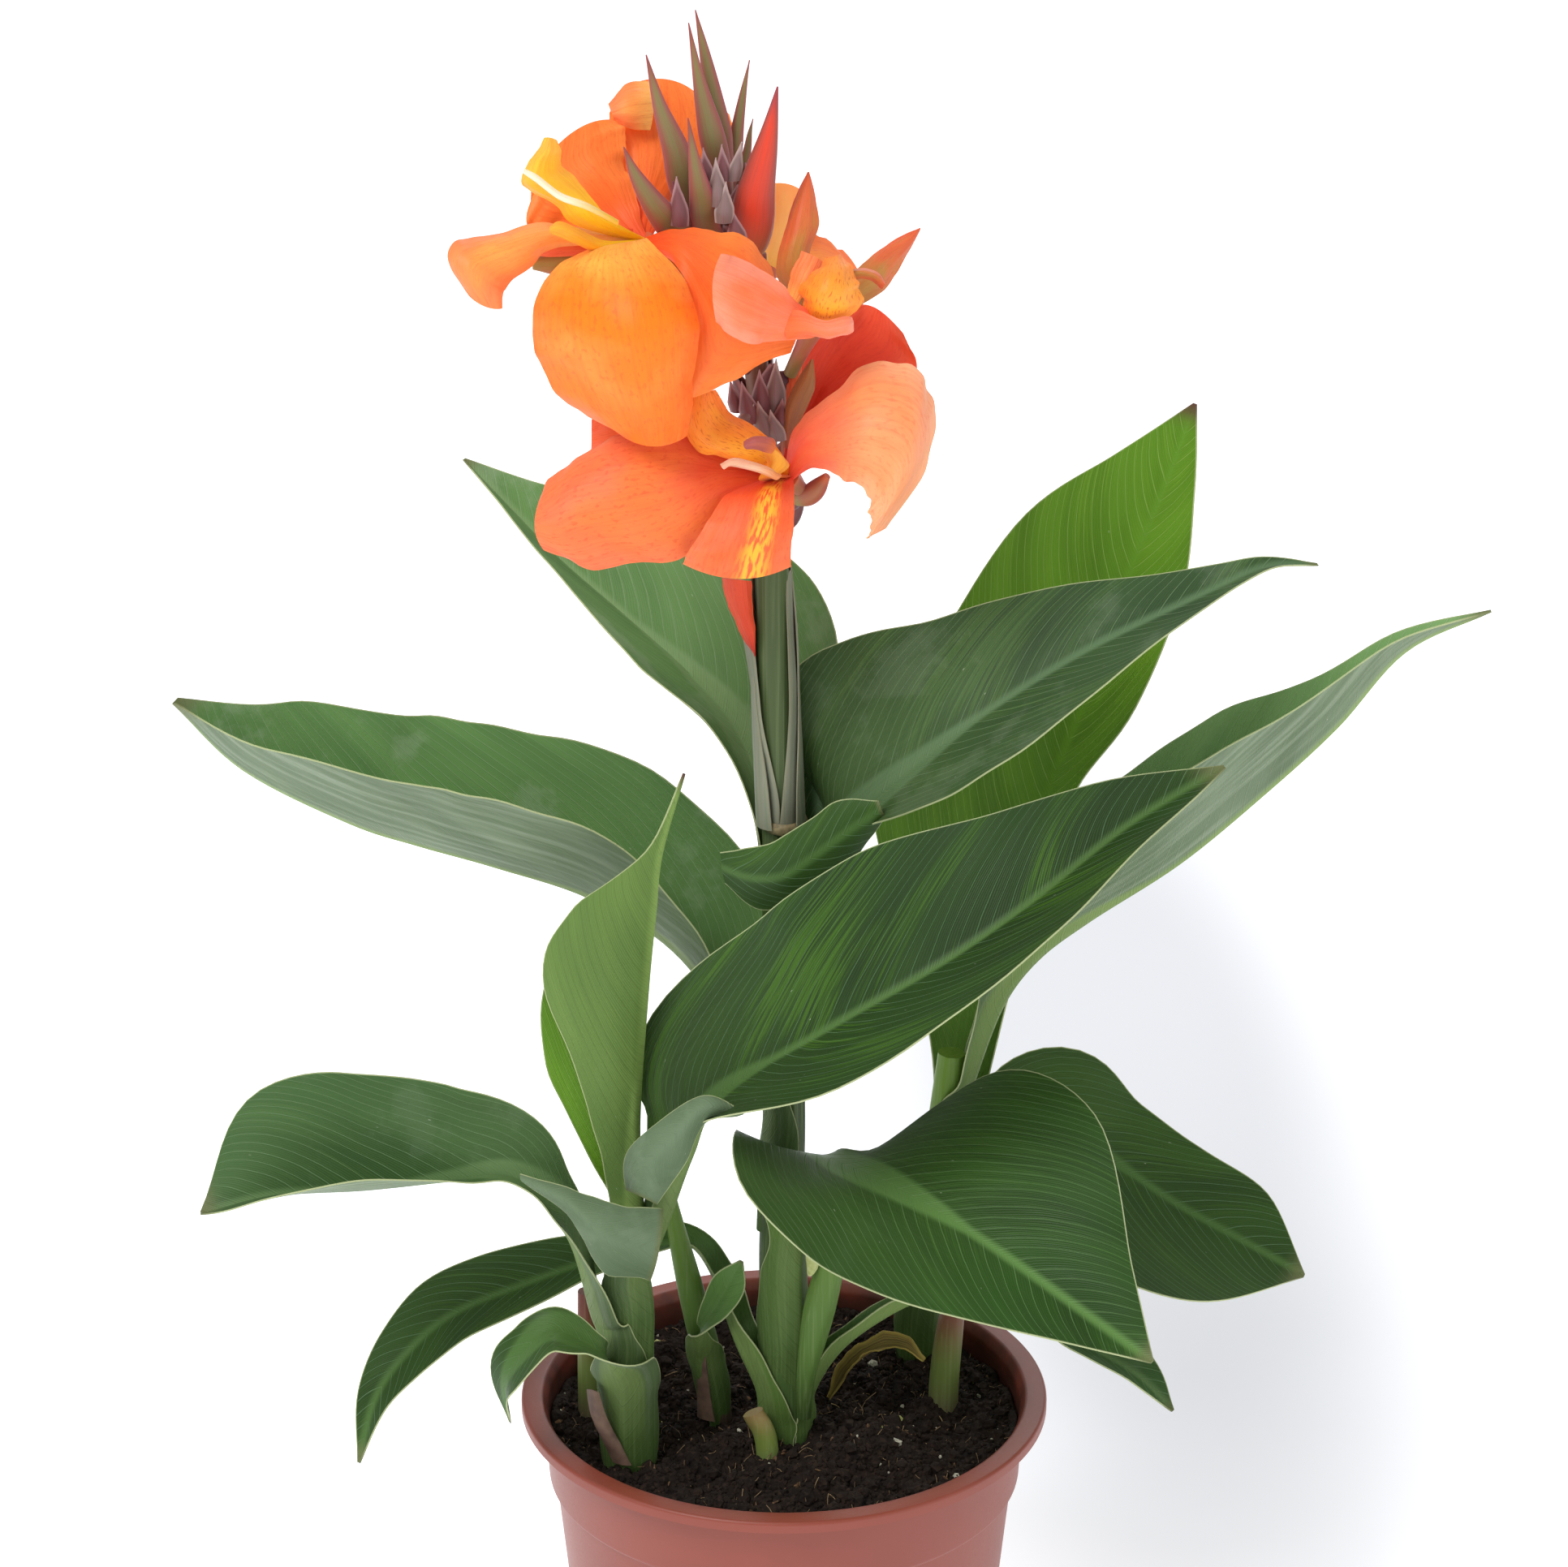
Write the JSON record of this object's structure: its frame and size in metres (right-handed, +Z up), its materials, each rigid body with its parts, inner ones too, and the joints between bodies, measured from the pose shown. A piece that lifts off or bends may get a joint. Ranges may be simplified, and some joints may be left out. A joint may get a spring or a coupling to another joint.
{
  "type": "potted canna lily",
  "caption": "Canna lily in bloom in a terracotta-coloured plastic nursery pot filled with peat: broad leaves on upright shoots below a spike of orange flowers and buds.",
  "frame": {"origin": "centre of the pot's underside, on the plane it stands on", "axes": "+Z up along the pot's axis, -Y towards the viewer of the picture, +X to the viewer's right"},
  "size_m": [0.4412, 0.2434, 0.6461],
  "materials": {
    "terracotta_polypropylene": "satin, moulded",
    "peat": "rough, crumbly",
    "rhizome_skin": "matt",
    "canna_leaf": "waxy satin",
    "canna_stem": "waxy satin",
    "dry_sheath": "papery, matt",
    "canna_petal": "silky satin",
    "canna_bud": "waxy satin"
  },
  "bodies": {
    "root": {"pot": "terracotta_polypropylene", "peat": "peat", "rhizome": "rhizome_skin", "main_stem": "canna_stem", "left_shoot": "canna_stem", "back_shoot": "canna_stem", "front_shoot": "canna_stem", "far_shoot": "canna_stem", "short_shoot": "canna_stem", "cut_stub": "canna_stem", "leaf_front": "canna_leaf", "leaf_front_right": "canna_leaf", "leaf_left_long": "canna_leaf", "leaf_left_low": "canna_leaf", "leaf_right_long": "canna_leaf", "leaf_right_upper": "canna_leaf", "leaf_back_left": "canna_leaf", "leaf_back_upright": "canna_leaf", "leaf_furled": "canna_leaf", "leaf_right_low": "canna_leaf", "leaf_low_right": "canna_leaf", "leaf_low_left": "canna_leaf", "leaf_curled": "canna_leaf", "leaf_spoon": "canna_leaf", "flower_sheath": "dry_sheath", "withered_leaf": "dry_sheath", "wedged_petal": "canna_petal", "flower_spike": "canna_bud", "bloom_upper_left": "canna_petal", "bloom_right": "canna_petal", "bloom_lower": "canna_petal", "bloom_back": "canna_petal"}
  },
  "joints": []
}
